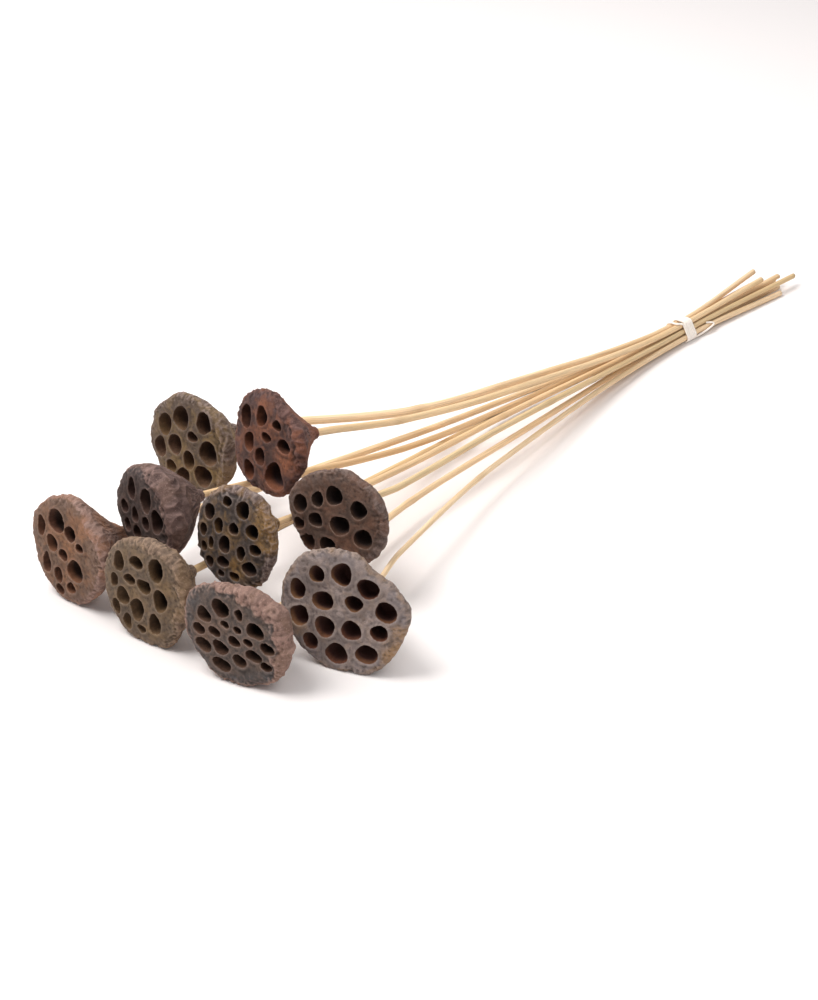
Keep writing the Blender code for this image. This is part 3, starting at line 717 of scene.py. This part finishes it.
    # Painted shade: the hole's wall darkens to a shade colour further down.
    wall = t.mix(t.range(deep, 0.045 * husk.well, 0.13 * husk.well), near, husk.depth_shade)
    colour = t.mix(t.range(pit, 0.30, 0.75), colour, wall)
    lip_amount = t.math("MULTIPLY", t.range(lip, 0.30, 0.85), t.range(speck, 0.30, 0.55, 0.45, 0.95))
    colour = t.mix(lip_amount, colour, times(husk.lip, 1.10))
    colour = t.mix(t.range(grain, 0.32, 0.60, 0.32, 0.0), colour, times(husk.face, 0.3))
    t.set(t.shader.inputs["Base Color"], colour)

    t.set(t.shader.inputs["Roughness"], t.range(speck, 0.3, 0.7, 0.70, 0.92))
    t.shader.inputs["Specular IOR Level"].default_value = 0.30
    rough = t.math("ADD", t.math("MULTIPLY", speck, 0.6), t.math("MULTIPLY", grain, 0.4))
    first = t.bump(rough, 0.9, 0.0006)
    t.set(t.shader.inputs["Normal"], t.bump(lengthwise, 0.22, 0.0004, first))
    return t.material


# Sticks: sides and ring spacing of the tube, and the length of a knuckle's swelling.

STICK_SIDES = 20
STICK_STEP = 1.9
KNUCKLE_LENGTH = 5.0
# node: colour, how much olive and dark brown runs along its underside, as its own streaks and as painted
# shade, and knuckles as (place, swell).
STRAWS = {
    "stick_1": (srgb(238, 206, 164), 0.55, ((-330, 1.12),)),
    "stick_2": (srgb(226, 192, 146), 0.55, ((-250, 1.08),)),
    "stick_3": (srgb(228, 192, 148), 0.80, ((-330, 1.10), (-120, 1.06))),
    "stick_4": (srgb(244, 212, 172), 0.25, ((-240, 1.12),)),
    "stick_5": (srgb(238, 206, 162), 0.35, ((-285, 1.10),)),
    "stick_6": (srgb(236, 202, 158), 0.40, ((-200, 1.08),)),
    "stick_7": (srgb(242, 210, 168), 0.30, ((-300, 1.10),)),
    "stick_8": (srgb(222, 194, 150), 0.60, ((-170, 1.12),)),
    "stick_9": (srgb(244, 214, 174), 0.25, ((-260, 1.08),)),
}


def centre_line(node):
    """Ring middles and radii of a stick's solid, from pod to cut end."""
    points, _ = solid_mesh(node)
    points = points[np.argsort(points[:, 0])]
    cuts = np.where(np.diff(points[:, 0]) > 1.2)[0] + 1
    middles, radii = [], []
    for ring in np.split(points, cuts):
        if len(ring) >= 8:
            middle = (ring.max(axis=0) + ring.min(axis=0)) / 2
            middle = ring.mean(axis=0) if len(ring) == 12 else middle
            middles.append(middle)
            radii.append(np.linalg.norm(ring - middle, axis=1).mean())
    return np.array(middles), np.array(radii)


def along_curve(points, values, pitch):
    """A smooth curve through the points, at this pitch, with the values carried along."""
    padded = np.concatenate([[2 * points[0] - points[1]], points, [2 * points[-1] - points[-2]]])
    length = np.concatenate([[0], np.cumsum(np.linalg.norm(np.diff(points, axis=0), axis=1))])
    count = max(int(length[-1] / pitch), 8)
    at = np.linspace(0, length[-1], count)
    index = np.clip(np.searchsorted(length, at, side="right") - 1, 0, len(points) - 2)
    t = ((at - length[index]) / (length[index + 1] - length[index]))[:, None]
    a, b, c, d = (padded[index + k] for k in range(4))
    place = 0.5 * (2 * b + (c - a) * t + (2 * a - 5 * b + 4 * c - d) * t**2
                   + (3 * b - a - 3 * c + d) * t**3)
    return place, np.interp(at, length, values), at


def frames_along(path):
    """Tangent, side and top directions along a path, without twist."""
    tangent = np.gradient(path, axis=0)
    tangent /= np.linalg.norm(tangent, axis=1)[:, None]
    top = np.array([0.0, 0.0, 1.0])
    side = np.cross(top, tangent)
    side /= np.linalg.norm(side, axis=1)[:, None]
    return tangent, side, np.cross(tangent, side)


def tube_mesh(name, rings, closed=False):
    """A tube through rings of points, capped with an inner ring and a middle point unless closed on itself.
    """
    count, sides = rings.shape[:2]
    points = rings.reshape(-1, 3)
    i = np.arange(count if closed else count - 1)[:, None]
    j = np.arange(sides)[None, :]
    near, far = i * sides, ((i + 1) % count) * sides
    quads = np.stack([near + j, near + (j + 1) % sides, far + (j + 1) % sides, far + j], axis=-1)
    quads = quads.reshape(-1, 4).tolist()
    extra = []
    if not closed:
        for start, order in ((0, -1), ((count - 1) * sides, 1)):
            ring = points[start:start + sides]
            inner = ring.mean(axis=0) + (ring - ring.mean(axis=0)) * 0.55
            base = len(points) + len(extra)
            extra.extend(inner.tolist())
            extra.append(ring.mean(axis=0).tolist())
            for k in range(sides):
                m = (k + 1) % sides
                quad = [start + k, start + m, base + m, base + k]
                cap = [base + k, base + m, base + sides]
                quads.append(quad if order > 0 else quad[::-1])
                quads.append(cap if order > 0 else cap[::-1])
        points = np.concatenate([points, np.array(extra)])
    mesh = bpy.data.meshes.new(name)
    mesh.from_pydata((points * MM).tolist(), [], quads)
    mesh.polygons.foreach_set("use_smooth", np.ones(len(mesh.polygons), bool))
    return mesh


def grow_stick(node, look, seed):
    """One stick with fibres, flats, knuckles and a cut end."""
    colour, olive, knuckles = look
    middles, radii = centre_line(node)
    path, radius, at = along_curve(middles, radii, STICK_STEP * (1))
    _, side, top = frames_along(path)
    angle = np.linspace(0, 2 * pi, STICK_SIDES, endpoint=False)
    s, a = np.meshgrid(at, angle, indexing="ij")
    flat = np.stack([s, a * 0, a * 0], axis=-1).reshape(-1, 3)
    around = np.stack([np.cos(a) * 1.6, np.sin(a) * 1.6, s / 60.0 + seed * 9.0], axis=-1)
    fibre = wave(around.reshape(-1, 3) * (3.2, 3.2, 1.0)).reshape(a.shape)
    slow = wave(flat / 26.0 + seed * 5.3).reshape(a.shape)
    oval = 0.045 * np.cos(2 * a + seed) * (0.8 + 0.2 * slow)
    grow = 1.0 + 0.03 * fibre + 0.012 * slow + oval - 0.04
    knot = np.zeros_like(a)
    for place, swell in knuckles:
        apart = (path[:, 0] - SHIFT.x - place)[:, None] + 1.5 * np.sin(a + seed)
        bump = np.exp(-((apart / KNUCKLE_LENGTH) ** 2))
        knot = np.maximum(knot, bump)
        grow = grow + (swell - 1.0) * bump
    ring = (np.cos(a)[..., None] * side[:, None] + np.sin(a)[..., None] * top[:, None])
    rings = path[:, None] + ring * (radius[:, None] * grow)[..., None]
    rings[..., 2] = np.maximum(rings[..., 2], 0.02)
    back = 0.15 * (1.0 + np.cos(angle + seed))[:, None]
    rings[-1] += (rings[-2].mean(axis=0) - rings[-1].mean(axis=0)) * back
    mesh = tube_mesh(node + "_straw", rings)
    total = len(mesh.vertices)
    body = rings.shape[0] * rings.shape[1]
    grain = np.zeros((total, 3))
    grain[:body] = np.stack(
        [np.cos(a) * 2.0, np.sin(a) * 2.0, s + seed * 500.0], axis=-1
    ).reshape(-1, 3)
    grain[body:] = points_of(mesh)[body:]
    cut = np.zeros(total)
    cut[body:] = 1.0
    dark = np.zeros(total)
    # Olive-brown strips kept to the underside: the stick's own streaks, and painted shade on its lower
    # side.
    under = step(-0.1, 0.9, -np.sin(a + 0.5 * slow) + 0.5 * wave(around.reshape(-1, 3)).reshape(a.shape))
    strip = step(0.25, 0.7, 0.5 + 0.8 * wave(flat / 70.0 + seed * 2.2).reshape(a.shape))
    dark[:body] = (under * strip * olive).reshape(-1)
    knots = np.zeros(total)
    knots[:body] = knot.reshape(-1)
    keep_vector(mesh, "grain", grain)
    keep(mesh, "cut", cut)
    keep(mesh, "dark", dark)
    keep(mesh, "knot", knots)
    mesh.materials.append(straw_material(node, colour))
    obj = bpy.data.objects.new(node + "_straw", mesh)
    bpy.context.scene.collection.objects.link(obj)
    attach(obj, "root")
    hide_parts(node)
    return path, radius


def straw_material(node, colour):
    """Pale straw with lengthwise fibres, olive and brown streaks on the underside that are also painted
    shade there, duller knuckles, grey cut ends.
    """
    t = Tree(node + "_straw")
    grain = t.attribute("grain", vector=True)
    dark = t.attribute("dark")
    knot = t.attribute("knot")
    cut = t.attribute("cut")
    fibre = t.noise(t.scaled(grain, (1.0, 1.0, 0.014)), 2.6, 4.0, 0.6)
    thread = t.noise(t.scaled(grain, (1.0, 1.0, 0.007)), 6.5, 2.0, 0.6)
    slow = t.noise(t.scaled(grain, (0.3, 0.3, 0.022)), 1.0, 3.0, 0.5)
    speck = t.noise(grain, 1.3, 3.0, 0.6)
    tone = t.mix(t.range(fibre, 0.36, 0.64), times(colour, 0.80), times(colour, 1.10))
    tone = t.mix(t.range(thread, 0.56, 0.74, 0.0, 0.45), tone, times(colour, 0.45))
    tone = t.mix(t.range(slow, 0.42, 0.66, 0.0, 0.35), tone, srgb(214, 176, 122))
    # Olive-brown underside: the stick's own streaks, and painted shade.
    tone = t.mix(t.range(dark, 0.10, 0.60, 0.0, 0.85), tone, srgb(104, 88, 58))
    tone = t.mix(t.math("MULTIPLY", knot, 0.22), tone, srgb(176, 140, 96))
    tone = t.mix(t.range(speck, 0.66, 0.76, 0.0, 0.5), tone, srgb(120, 88, 56))
    tone = t.mix(cut, tone, t.mix(t.range(speck, 0.4, 0.6), srgb(150, 132, 108), srgb(196, 178, 148)))
    t.set(t.shader.inputs["Base Color"], tone)
    t.set(t.shader.inputs["Roughness"], t.range(fibre, 0.3, 0.7, 0.48, 0.68))
    t.shader.inputs["Specular IOR Level"].default_value = 0.4
    height = t.math("ADD", t.math("MULTIPLY", fibre, 0.6), t.math("MULTIPLY", thread, 0.4))
    t.set(t.shader.inputs["Normal"], t.bump(height, 0.5, 0.0003))
    return t.material


# The elastic tie: turns side by side, the first of which parts from them at the back.

BAND_LOW = -8.35
TURNS = 6
TURN_WIDTH = 1.65
TURN_FILL = 0.97
TURN_THICK = 1.05
TURN_WANDER = 0.10
TURN_POINTS = 720
TURN_ROUNDS = 4
PART_REACH = 6.0
PART_TURN = 62.0
TIE_GAP = 0.32
TIE_STEPS = 120
RIBBON_SIDES = 14
# The stray end leaves the band below, runs along the front and hooks back over the lowest stick.
STRAY_RADIUS = 0.66
STRAY_POINTS = 60
STRAY_ROUNDS = 24
STRAY_ROOT = -0.4
STRAY_REACH = 21.0
STRAY_RETURN = 5.0
STRAY_START = 262.0
STRAY_END = 88.0
STRAY_FRONT = 215.0


def circles_at(sticks, x):
    """(y, z, radius) of each stick where it passes this x."""
    found = []
    for path, radius in sticks:
        found.append((
            np.interp(x, path[:, 0], path[:, 1]),
            np.interp(x, path[:, 0], path[:, 2]),
            np.interp(x, path[:, 0], radius),
        ))
    return found


def support(circles, angle):
    """The circle that reaches furthest in this direction."""
    return max(circles, key=lambda c: c[0] * cos(angle) + c[1] * sin(angle) + c[2])


def wrap(circles, angle, out):
    """Where a line stretched round the sticks, this far out, meets the given direction."""
    y, z, r = support(circles, angle)
    return np.array([0.0, y + (r + out) * cos(angle), z + (r + out) * sin(angle)])


def turn_path(sticks, x_of, out):
    """A closed path round the sticks, this far out from them, evenly spaced."""
    rows = []
    for i in range(TURN_POINTS):
        angle = 2 * pi * i / TURN_POINTS
        x = x_of(angle)
        place = wrap(circles_at(sticks, x) + circles_at(sticks, x + 1.0), angle, out)
        rows.append((x, place[1], place[2]))
    rows = np.array(rows)
    loop = np.concatenate([rows, rows[:1]])
    length = np.concatenate([[0], np.cumsum(np.linalg.norm(np.diff(loop, axis=0), axis=1))])
    at = np.linspace(0, length[-1], TIE_STEPS, endpoint=False)
    path = np.stack([np.interp(at, length, loop[:, k]) for k in range(3)], axis=1)
    for _ in range(TURN_ROUNDS):
        path = (np.roll(path, 1, axis=0) + np.roll(path, -1, axis=0) + 2 * path) / 4
    return path


def ribbon(name, path, wide, thick, seed, closed=True):
    """A flattened elastic strand along a path, with its narrow cross ribs."""
    middle = path.mean(axis=0)
    if closed:
        tangent = np.roll(path, -1, axis=0) - np.roll(path, 1, axis=0)
    else:
        tangent = np.gradient(path, axis=0)
    tangent /= np.linalg.norm(tangent, axis=1)[:, None]
    out = path - middle
    if closed:
        out[:, 0] = 0
    out -= tangent * (out * tangent).sum(axis=1)[:, None]
    out /= np.linalg.norm(out, axis=1)[:, None]
    across = np.cross(tangent, out)
    angle = np.linspace(0, 2 * pi, RIBBON_SIDES, endpoint=False)
    shape = np.sign(np.cos(angle)) * np.abs(np.cos(angle)) ** 0.8
    rise = np.sin(angle)
    index = np.arange(len(path))
    swell = 1.0 + 0.05 * np.sin(index * 1.7 + seed) + 0.03 * np.sin(index * 0.37 + seed)
    ring = shape[None, :, None] * across[:, None] * (wide / 2) * swell[:, None, None]
    ring = ring + rise[None, :, None] * out[:, None] * (thick / 2)
    rings = path[:, None] + ring
    mesh = tube_mesh(name, rings, closed)
    length = np.concatenate([[0], np.cumsum(np.linalg.norm(np.diff(path, axis=0), axis=1))])
    grain = np.zeros((len(mesh.vertices), 3))
    body = rings.shape[0] * rings.shape[1]
    s = np.repeat(length[:, None], len(angle), axis=1)
    grain[:body] = np.stack(
        [shape[None, :] * wide / 2 + 0 * s, rise[None, :] + 0 * s, s + seed * 40.0], axis=-1
    ).reshape(-1, 3)
    keep_vector(mesh, "grain", grain)
    mesh.materials.append(tie_look)
    obj = bpy.data.objects.new(name, mesh)
    bpy.context.scene.collection.objects.link(obj)
    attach(obj, "root")
    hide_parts("tie")


def elastic_material():
    """Cream elastic: fine lengthwise threads, small cross ribs, faint soiling."""
    t = Tree("elastic")
    grain = t.attribute("grain", vector=True)
    rib = t.noise(t.scaled(grain, (0.6, 0.6, 2.6)), 1.0, 1.0, 0.4)
    thread = t.noise(t.scaled(grain, (4.0, 4.0, 0.25)), 1.0, 2.0, 0.5)
    soil = t.noise(t.place(), 220.0, 3.0, 0.6)
    tone = t.mix(t.range(thread, 0.3, 0.7), srgb(246, 236, 224), srgb(255, 249, 242))
    tone = t.mix(t.range(rib, 0.35, 0.6, 0.22, 0.0), tone, srgb(230, 214, 196))
    tone = t.mix(t.range(soil, 0.55, 0.75, 0.0, 0.25), tone, srgb(236, 216, 192))
    t.set(t.shader.inputs["Base Color"], tone)
    t.shader.inputs["Roughness"].default_value = 0.62
    t.shader.inputs["Subsurface Weight"].default_value = 0.08
    t.shader.inputs["Subsurface Radius"].default_value = (0.0012, 0.0009, 0.0007)
    height = t.math("ADD", t.math("MULTIPLY", rib, 0.7), t.math("MULTIPLY", thread, 0.3))
    t.set(t.shader.inputs["Normal"], t.bump(height, 0.5, 0.0003))
    return t.material


def add_tie(sticks):
    """The band's turns and the stray end."""
    for k in range(TURNS):
        x0 = SHIFT.x + BAND_LOW + TURN_WIDTH * (k + 0.5)
        wander = TURN_WANDER * (1 if k % 2 else -1)

        def x_of(angle, x0=x0, wander=wander, k=k):
            parting = max(0.0, cos(angle - radians(PART_TURN))) ** 2 * PART_REACH * (k == 0)
            return x0 + wander * sin(angle + k) - parting

        path = turn_path(sticks, x_of, TIE_GAP + TURN_THICK / 2)
        ribbon(f"tie_turn_{k + 1}", path, TURN_WIDTH * TURN_FILL, TURN_THICK, k)

    rows = []
    for i in range(STRAY_POINTS):
        t = i / (STRAY_POINTS - 1)
        angle = radians(STRAY_START + (STRAY_END - STRAY_START) * t)
        x = SHIFT.x + STRAY_ROOT + STRAY_REACH * float(step(0.0, 0.65, t))
        x -= STRAY_RETURN * float(step(0.70, 1.0, t))
        circles = circles_at(sticks, x) + circles_at(sticks, x + 1.0)
        if angle < radians(STRAY_FRONT):
            circles = [support(circles, radians(STRAY_FRONT))]
        place = wrap(circles, angle, TIE_GAP + STRAY_RADIUS)
        rows.append((x, place[1], place[2]))
    path = np.array(rows)
    for _ in range(STRAY_ROUNDS):
        path[1:-1] = (path[:-2] + path[2:] + 2 * path[1:-1]) / 4
    ribbon("tie_stray_end", path, STRAY_RADIUS * 2, STRAY_RADIUS * 1.8, 9, closed=False)


# Floor and light, in metres. Lamps: name, place, disk size, watts, tint.
FLOOR_REACH = 6.0
FLOOR_COLOUR = (0.93, 0.89, 0.875, 1.0)
FILL_COLOUR = (0.97, 0.97, 1.0, 1.0)
FILL_STRENGTH = 0.40
LAMP_AIM = Vector((-0.15, 0.0, 0.03))
LAMPS = (
    ("key", (-0.75, 0.55, 1.45), 1.1, 23.5, (1.0, 0.985, 0.97)),
    ("back", (0.35, 0.75, 1.15), 0.8, 7.0, (1.0, 0.99, 0.98)),
    ("right", (-0.25, -0.95, 1.25), 0.9, 6.0, (1.0, 0.985, 0.97)),
)


def floor_and_light():
    """A plain pale floor, an even fill and three soft lamps."""
    mesh = bpy.data.meshes.new("floor")
    r = FLOOR_REACH
    mesh.from_pydata([(-r, -r, 0), (r, -r, 0), (r, r, 0), (-r, r, 0)], [], [(0, 1, 2, 3)])
    floor = bpy.data.objects.new("floor", mesh)
    bpy.context.scene.collection.objects.link(floor)
    t = Tree("floor")
    t.shader.inputs["Base Color"].default_value = FLOOR_COLOUR
    t.shader.inputs["Roughness"].default_value = 0.9
    t.shader.inputs["Specular IOR Level"].default_value = 0.1
    mesh.materials.append(t.material)

    world = bpy.data.worlds.new("studio")
    bpy.context.scene.world = world
    world.use_nodes = True
    fill = world.node_tree.nodes["Background"]
    fill.inputs["Color"].default_value = FILL_COLOUR
    fill.inputs["Strength"].default_value = FILL_STRENGTH
    for name, place, size, power, tint in LAMPS:
        lamp = bpy.data.lights.new(name, "AREA")
        lamp.shape = "DISK"
        lamp.size = size
        lamp.energy = power
        lamp.color = tint
        obj = bpy.data.objects.new(name, lamp)
        bpy.context.scene.collection.objects.link(obj)
        obj.location = place
        aim = LAMP_AIM - obj.location
        obj.rotation_mode = "QUATERNION"
        obj.rotation_quaternion = aim.to_track_quat("-Z", "Y")


# The camera: where it stood, how far it looks down, and its focal length in pixels.
CAMERA_PLACE = Vector((-1144.85, -735.92, 602.0))
CAMERA_TURN = 50.0
CAMERA_DOWN = 28.0
FOCAL_PIXELS = 2341.0
PICTURE_HEIGHT = 1000.0
SENSOR = 36.0


def add_camera():
    """The camera, at the place and with the focal length fitted to the photograph."""
    data = bpy.data.cameras.new("camera")
    data.sensor_width = SENSOR
    data.lens = SENSOR * FOCAL_PIXELS / PICTURE_HEIGHT
    data.clip_start = 0.01
    camera = bpy.data.objects.new("camera", data)
    bpy.context.scene.collection.objects.link(camera)
    turn, down = radians(CAMERA_TURN), radians(CAMERA_DOWN)
    look = Vector((sin(turn) * cos(down), cos(turn) * cos(down), -sin(down)))
    camera.location = (CAMERA_PLACE + SHIFT) * MM
    camera.rotation_mode = "QUATERNION"
    camera.rotation_quaternion = look.to_track_quat("-Z", "Y")
    bpy.context.scene.camera = camera


add_camera()
floor_and_light()
for seed, (pod, husk) in enumerate(HUSKS.items(), start=1):
    grow_husk(pod, husk, seed)
sticks = [grow_stick(node, look, k) for k, (node, look) in enumerate(STRAWS.items(), start=1)]
tie_look = elastic_material()
add_tie(sticks)
bpy.context.scene.view_settings.view_transform = "Standard"
